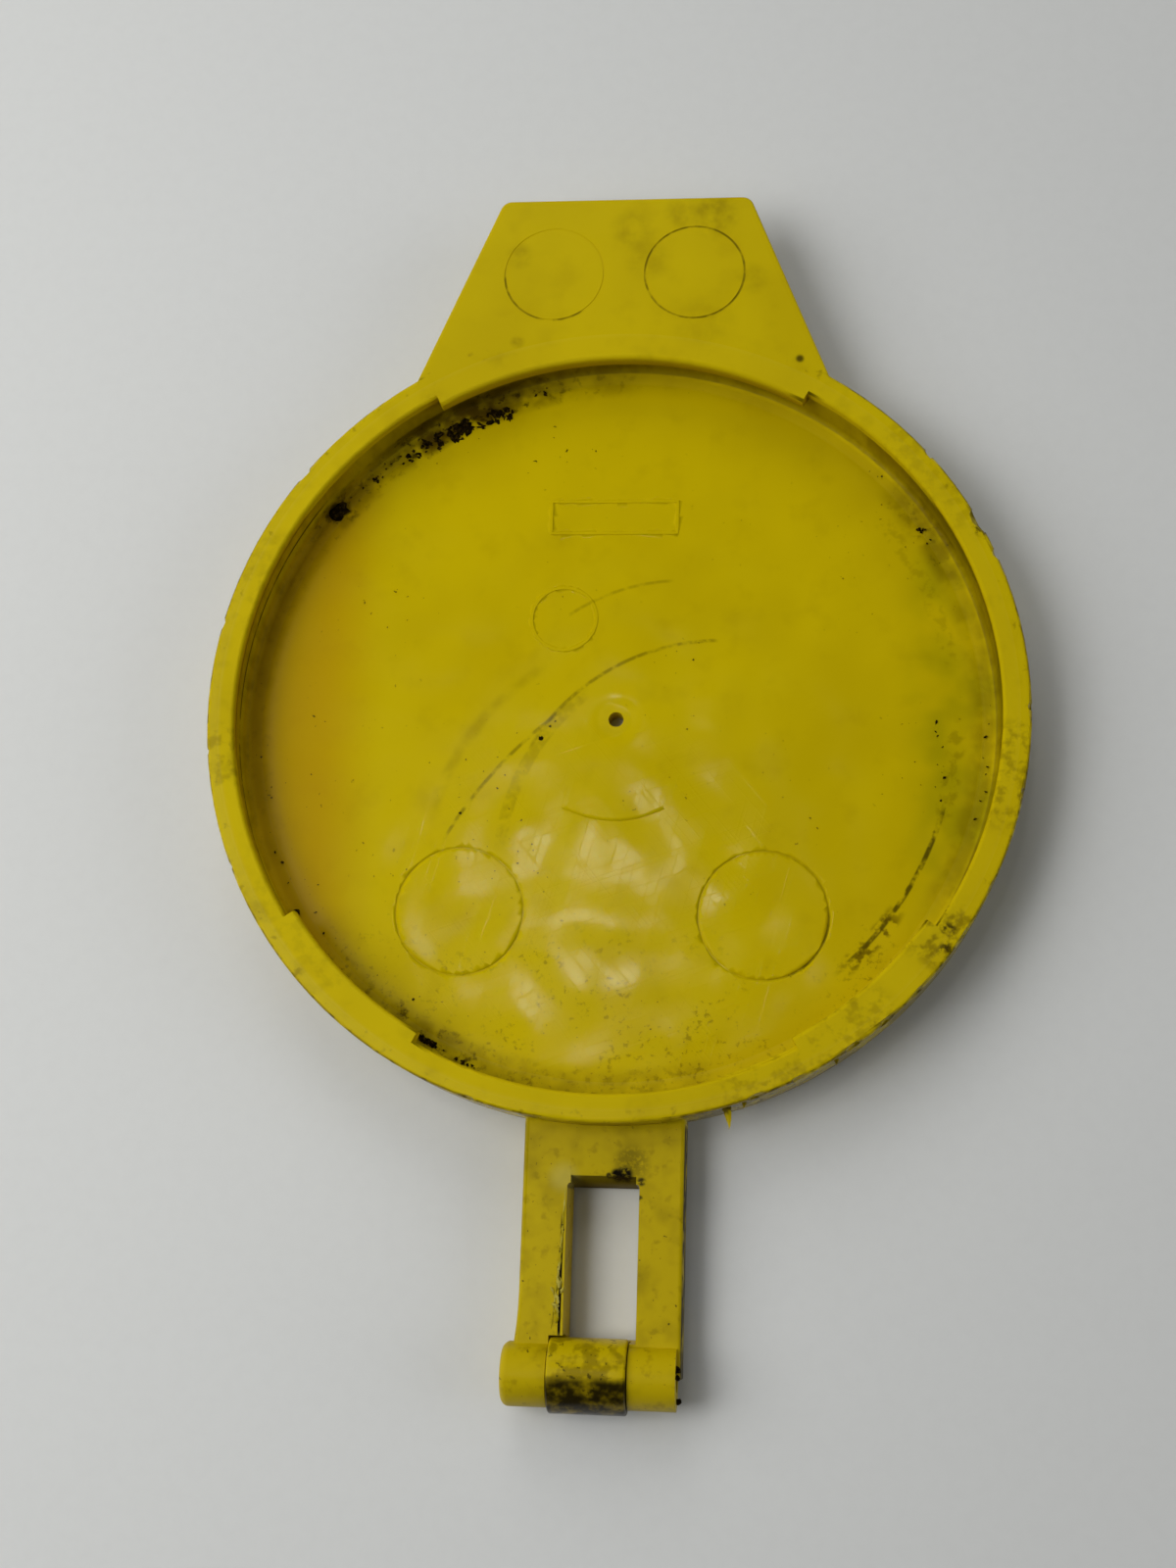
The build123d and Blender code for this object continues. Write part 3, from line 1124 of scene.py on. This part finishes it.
@dataclass
class HingeArm:
    """Places on the arm that the dirt and the torn edge follow."""

    root_y: float = -31.9
    right: float = 6.25
    window_left: float = -2.46
    window_right: float = 2.9
    head_y: float = -35.4
    foot_y: float = -47.0
    top: float = 3.45
    burr_width: float = 0.13

    def build_burr(self) -> Object:
        """Makes the torn sliver that peels away along the window's left edge, with its ragged curls.

        Returns:
            The burr, riding on the cap.
        """
        shape = bmesh.new()
        top_end = Vector((self.window_left - 0.12, self.head_y - 1.1, self.top))
        low_end = Vector((self.window_left - 0.85, self.foot_y + 0.5, self.top))
        self._sliver(shape, top_end, low_end, self.burr_width, 0.12, 90)
        rng = random.Random(5)
        for i in range(9):
            start = low_end.lerp(top_end, 0.04 + 0.035 * i) + Vector((rng.uniform(0.0, 0.45), 0.0, 0.0))
            curl = Vector((rng.uniform(-0.3, 0.3), rng.uniform(0.3, 0.9), rng.uniform(0.0, 0.25)))
            self._sliver(shape, start, start + curl, rng.uniform(0.10, 0.22), 0.05, 10)
        obj = object_from_bmesh("window_burr", shape)
        soften(obj, 60)
        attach(obj, CAP_BODY)
        return obj

    def _sliver(
        self, shape: BMesh, start: Vector, end: Vector, width: float, bow: float, steps: int
    ) -> None:
        """Adds one closed, wandering sliver of plastic between two points.

        Args:
            shape: the bmesh, in millimetres.
            start: one end, on the arm's top face.
            end: the other end.
            width: widest half width.
            bow: how far its middle bows towards +X.
            steps: rings along its length.
        """
        sides = 8
        rows = []
        for i in range(steps + 1):
            share = i / steps
            centre = start.lerp(end, share)
            wander = 0.05 * noise.noise(Vector((0.0, centre.y * 0.9, 5.0)))
            centre.x += bow * math.sin(math.pi * share) + wander
            swell = max(0.08, math.sin(math.pi * (0.03 + 0.94 * share)) ** 0.5)
            swell *= 0.75 + 0.7 * noise.noise(Vector((3.0, centre.y * 2.6, 1.0)))
            row = []
            for j in range(sides):
                angle = 2 * math.pi * j / sides
                bite = 1 + 0.35 * noise.noise(Vector((j * 1.3, centre.y * 4.0, 2.0)))
                reach = width * swell * bite
                out = Vector((reach * math.cos(angle), 0.0, 0.7 * reach * math.sin(angle)))
                row.append(shape.verts.new(centre + out))
            rows.append(row)
        bridge(shape, rows)


@dataclass
class RimFlash:
    """Thin spikes and shreds of moulding flash that hang from the rim's worn edge."""

    shell: CapShell
    # bearing, length and width of each spike
    spikes: tuple[Point, ...] = ((163.0, 1.5, 0.42), (160.5, 0.35, 0.3), (147.0, 0.3, 0.35))

    def build(self) -> Object:
        """Makes the flash and returns it, riding on the cap."""
        shape = bmesh.new()
        for number, (bearing, length, width) in enumerate(self.spikes):
            self._spike(shape, bearing, length, width, number)
        obj = object_from_bmesh("rim_flash", shape)
        soften(obj, 50)
        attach(obj, CAP_BODY)
        return obj

    def _spike(self, shape: BMesh, bearing: float, length: float, width: float, number: int) -> None:
        """Adds one tapering, slightly bent spike that points outwards from the rim.

        Args:
            shape: the bmesh, in millimetres.
            bearing: where it stands on the rim.
            length: how far it sticks out.
            width: half its width at the root.
            number: where in the noise field it takes its shape from.
        """
        steps, sides = 8, 7
        out = bearing_point(bearing, 1.0, 0.0)
        along = Vector((out.y, -out.x, 0.0))
        base = bearing_point(bearing, self.shell.disc_radius - 0.25, self.shell.rim_top - 1.2)
        rows = []
        for i in range(steps):
            share = i / steps
            centre = base + out * (length + 0.25) * share + along * 0.22 * share**2
            half = width * (1 - share) ** 0.8 * (1 + 0.25 * noise.noise(Vector((share * 6, number, 0.0))))
            row = []
            for j in range(sides):
                angle = 2 * math.pi * j / sides
                rise = Vector((0, 0, 0.5 * half * math.sin(angle)))
                row.append(shape.verts.new(centre + along * half * math.cos(angle) + rise))
            rows.append(row)
        tip = shape.verts.new(base + out * (length + 0.3) + along * 0.3)
        for here, there in zip(rows, rows[1:]):
            for j in range(sides):
                shape.faces.new((here[j], here[(j + 1) % sides], there[(j + 1) % sides], there[j]))
        for j in range(sides):
            shape.faces.new((rows[-1][j], rows[-1][(j + 1) % sides], tip))
        shape.faces.new(rows[0])


@dataclass
class PackedGrime:
    """Crumbs of dried dirt: packed in the dish's gutter, at a lip's end and beside the barrel."""

    shell: CapShell
    barrel_right: float = 6.0
    seed: int = 11

    def build(self) -> Object:
        """Makes all the crumbs as one piece and returns it, riding on the cap."""
        rng = random.Random(self.seed)
        shape = bmesh.new()
        floor = self.shell.floor + 0.08
        for bearing, spread, radius, band, count, size in (
            (-29.5, 4.5, 28.1, 0.6, 30, 0.48),
            (-21.5, 2.5, 27.8, 0.5, 12, 0.36),
            (-37.0, 3.5, 28.3, 0.4, 14, 0.24),
            (-45.0, 5.0, 28.8, 0.3, 12, 0.15),
            (-13.0, 3.0, 28.7, 0.3, 5, 0.16),
            (57.0, 1.5, 28.6, 0.3, 6, 0.22),
            (92.0, 2.0, 25.0, 0.2, 4, 0.20),
            (99.0, 5.0, 25.6, 0.5, 8, 0.12),
            (98.0, 6.0, 28.9, 0.3, 7, 0.13),
            (-152.0, 2.2, 29.1, 0.15, 16, 0.24),
            (-159.0, 2.0, 29.3, 0.1, 9, 0.15),
            (-110.0, 18.0, 28.3, 0.6, 9, 0.14),
            (-135.0, 20.0, 27.0, 1.2, 8, 0.11),
        ):
            for _ in range(count):
                away = rng.gauss(bearing, spread / 2)
                at = bearing_point(away, radius + rng.uniform(-band, band), floor + rng.uniform(-0.05, 0.06))
                half = size * rng.uniform(0.35, 1.0)
                flat = half * rng.uniform(0.3, 0.5)
                turn, seed = rng.uniform(0, 180), rng.uniform(0, 90)
                add_lump(shape, at, (half, half * rng.uniform(0.4, 0.9), flat), turn, seed, 1.3)
        for y, z, half in ((-48.4, 3.0, 0.2), (-49.0, 4.2, 0.26), (-49.6, 4.3, 0.16), (-51.3, 2.6, 0.22)):
            add_lump(shape, Vector((self.barrel_right, y, z)), (0.22, half, half), 0, y, 1.2)
        blob = bearing_point(-52.8, 29.1, floor + 0.2)
        add_lump(shape, blob, (0.75, 0.55, 0.5), 40, 4.2, 0.9)
        add_lump(shape, blob + Vector((-0.3, -0.35, 0.0)), (0.5, 0.5, 0.35), 20, 8.8, 0.9)
        lip_end = bearing_point(-122.8, 29.3, floor + 0.2)
        add_lump(shape, lip_end, (0.3, 0.28, 0.3), 0, 6.1, 0.8)
        for x, y, half in (
            (-12.04, -7.7, 0.13),
            (-5.9, -1.6, 0.2),
            (-5.2, -0.6, 0.12),
            (-4.8, -0.2, 0.1),
            (6.0, 4.9, 0.08),
        ):
            add_lump(shape, Vector((x, y, floor)), (half, half, half * 0.5), 0, x, 0.6)
        return self._finish(shape)

    def _finish(self, shape: BMesh) -> Object:
        """Turns the crumbs into an object on the cap.

        Args:
            shape: the crumbs, in millimetres.

        Returns:
            The object, riding on the cap.
        """
        obj = object_from_bmesh("packed_grime", shape)
        soften(obj, 70)
        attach(obj, CAP_BODY)
        return obj


@dataclass
class HingeSleeve:
    """The proud centre section of the barrel, worn and slightly out of round."""

    axis: Vector
    left: float
    right: float
    radius: float
    bore: float = 1.05
    edge: float = 0.18
    wear: float = 0.03

    def build(self) -> Object:
        """Turns the worn sleeve and returns it, riding on the hinge mount."""
        shape = bmesh.new()
        outline = self._outline()
        turns = 96
        rows = []
        for i in range(turns):
            angle = 2 * math.pi * i / turns
            row = []
            for x, radius in outline:
                spot = Vector((x, radius * math.cos(angle), radius * math.sin(angle)))
                dent = self.wear * noise.noise(spot * 0.9) if radius > self.bore + 0.5 else 0.0
                reach = radius - abs(dent)
                y, z = reach * math.cos(angle), reach * math.sin(angle)
                row.append(shape.verts.new((x, self.axis.y + y, self.axis.z + z)))
            rows.append(row)
        count = len(outline)
        for i in range(turns):
            here, there = rows[i], rows[(i + 1) % turns]
            for j in range(count):
                k = (j + 1) % count
                shape.faces.new((here[j], there[j], there[k], here[k]))
        obj = object_from_bmesh("worn_sleeve", shape)
        soften(obj, 40)
        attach(obj, MOUNT_BODY)
        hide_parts("hinge_sleeve")
        return obj

    def _outline(self) -> list[tuple[float, float]]:
        """Half section of the sleeve as (x, radius), closed from the outside round to the bore."""
        points = []
        for side in (0, 1):
            middle = self.left + self.edge if side == 0 else self.right - self.edge
            for i in range(5):
                angle = math.pi * (1 - i / 8) if side == 0 else math.pi / 2 * (1 - i / 4)
                reach = self.radius - self.edge + self.edge * math.sin(angle)
                points.append((middle + self.edge * math.cos(angle), reach))
            if side == 0:
                steps = 16
                run = self.right - self.left - 2 * self.edge
                points += [(middle + run * i / steps, self.radius) for i in range(1, steps)]
        points += [(self.right, self.bore), (self.left, self.bore)]
        return points


# ---- studio ----


@dataclass
class Studio:
    """Table, camera and soft room light."""

    eye: Point = (14.2, -42.64, 155.37)
    heading: Point = (-0.10236, 0.23545, -0.96648)
    roll: float = 1.87
    lens: float = 46.55
    sensor: float = 36.0
    table_half: float = 900.0
    gap: float = 0.02
    room_light: float = 0.085
    room_mirrored: float = 0.02

    def build(self) -> None:
        """Sets up the table, the camera and the lights."""
        self._table()
        self._camera()
        self._lights()
        self._room()
        bpy.context.scene.view_settings.view_transform = "Standard"

    def _table(self) -> None:
        """Lays the table top under the part."""
        shape = bmesh.new()
        half = self.table_half
        corners = ((-half, -half), (half, -half), (half, half), (-half, half))
        shape.faces.new([shape.verts.new((x, y, 0.0)) for x, y in corners])
        table = object_from_bmesh("table", shape)
        table.location.z = CAD_BOX[0][2] - self.gap * MM
        table.data.materials.append(PaleTable().make())

    def _camera(self) -> None:
        """Sets the camera above the open dish, a little towards the hinge."""
        data = bpy.data.cameras.new("camera")
        data.lens = self.lens
        data.sensor_width = self.sensor
        data.clip_start = 0.01
        camera = bpy.data.objects.new("camera", data)
        bpy.context.scene.collection.objects.link(camera)
        forward = Vector(self.heading).normalized()
        right = forward.cross(Vector((0, 1, 0))).normalized()
        up = right.cross(forward)
        turn = Matrix((right, up, -forward)).transposed() @ Matrix.Rotation(math.radians(self.roll), 3, "Z")
        camera.matrix_world = Matrix.Translation(Vector(self.eye) * MM) @ turn.to_4x4()
        bpy.context.scene.camera = camera

    def _lights(self) -> None:
        """Hangs four soft lamps, and a small ceiling lamp that alone is mirrored in the dish."""
        for name, place, size, power, colour, mirrored in (
            ("left window", (-200.0, 5.0, 212.0), 250.0, 0.45, "FFFFFF", False),
            ("right wall", (900.0, -40.0, 380.0), 560.0, 1.75, "F6F9FF", False),
            ("back wall", (-110.0, 450.0, 350.0), 300.0, 0.70, "FFFFFF", False),
            ("high left", (-170.0, -50.0, 290.0), 170.0, 0.23, "FFFFFF", False),
            ("ceiling", (-109.0, 166.0, 1000.0), 38.0, 0.17, "FFFBF2", True),
        ):
            data = bpy.data.lights.new(name, "AREA")
            data.shape = "SQUARE"
            data.size = size * MM
            data.energy = power
            data.color = linear(colour)[:3]
            lamp = bpy.data.objects.new(name, data)
            lamp.visible_glossy = mirrored      # big lamps in the plastic's gloss would wash out its yellow
            bpy.context.scene.collection.objects.link(lamp)
            lamp.location = Vector(place) * MM
            aim = Vector((0, 0, 0)) - lamp.location
            lamp.rotation_euler = aim.to_track_quat("-Z", "Y").to_euler()

    def _room(self) -> None:
        """Fills the room with even light; its reflection is dimmer, as the room above the table is dark."""
        world = bpy.data.worlds.new("room")
        bpy.context.scene.world = world
        world.use_nodes = True
        tree = world.node_tree
        tree.nodes.clear()
        ray = add_node(tree, "ShaderNodeLightPath").outputs["Is Glossy Ray"]
        levels = {"Value": ray, "To Min": self.room_light, "To Max": self.room_mirrored}
        level = add_node(tree, "ShaderNodeMapRange", levels).outputs[0]
        sky = add_node(tree, "ShaderNodeBackground", {"Color": linear("F2F4F6"), "Strength": level})
        add_node(tree, "ShaderNodeOutputWorld", {"Surface": sky.outputs[0]})


# ---- assembly ----


def dress(obj: Object, material: Material) -> None:
    """Gives an object one material in place of those it has."""
    obj.data.materials.clear()
    obj.data.materials.append(material)


def main() -> None:
    """Builds the pieces in order and reports each one."""
    logging.basicConfig(level=logging.INFO, format="%(name)s: %(message)s")
    Studio().build()
    low, high = (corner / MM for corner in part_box("cap_shell"))
    shell = CapShell(disc_radius=high.x, rim_top=high.z)
    arm = HingeArm()
    polypropylene = MouldedPolypropylene().make(shell, arm)
    moulding = shell.build()
    dress(moulding, polypropylene)
    LOG.info("moulding with %d faces", len(moulding.data.polygons))

    burr = arm.build_burr()
    dress(burr, TornEdgePlastic().make())
    LOG.info("burr on the window's edge")

    flash = RimFlash(shell).build()
    dress(flash, polypropylene)
    LOG.info("flash on the rim")

    grime = PackedGrime(shell).build()
    dress(grime, RoadGrime().make())
    LOG.info("grime in the gutter")

    axis = Vector(frame["joints"][0]["pos_m"]) / MM
    low, high = (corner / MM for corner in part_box("hinge_sleeve"))
    sleeve = HingeSleeve(axis=axis, left=low.x, right=high.x, radius=(high.z - low.z) / 2).build()
    dress(sleeve, WornSleevePlastic().make(axis))
    LOG.info("sleeve")

    pin = frame["nodes"]["hinge_pin"]
    dress(pin, DrawnSteel().make())
    LOG.info("pin")


if __name__ == "__main__":
    main()
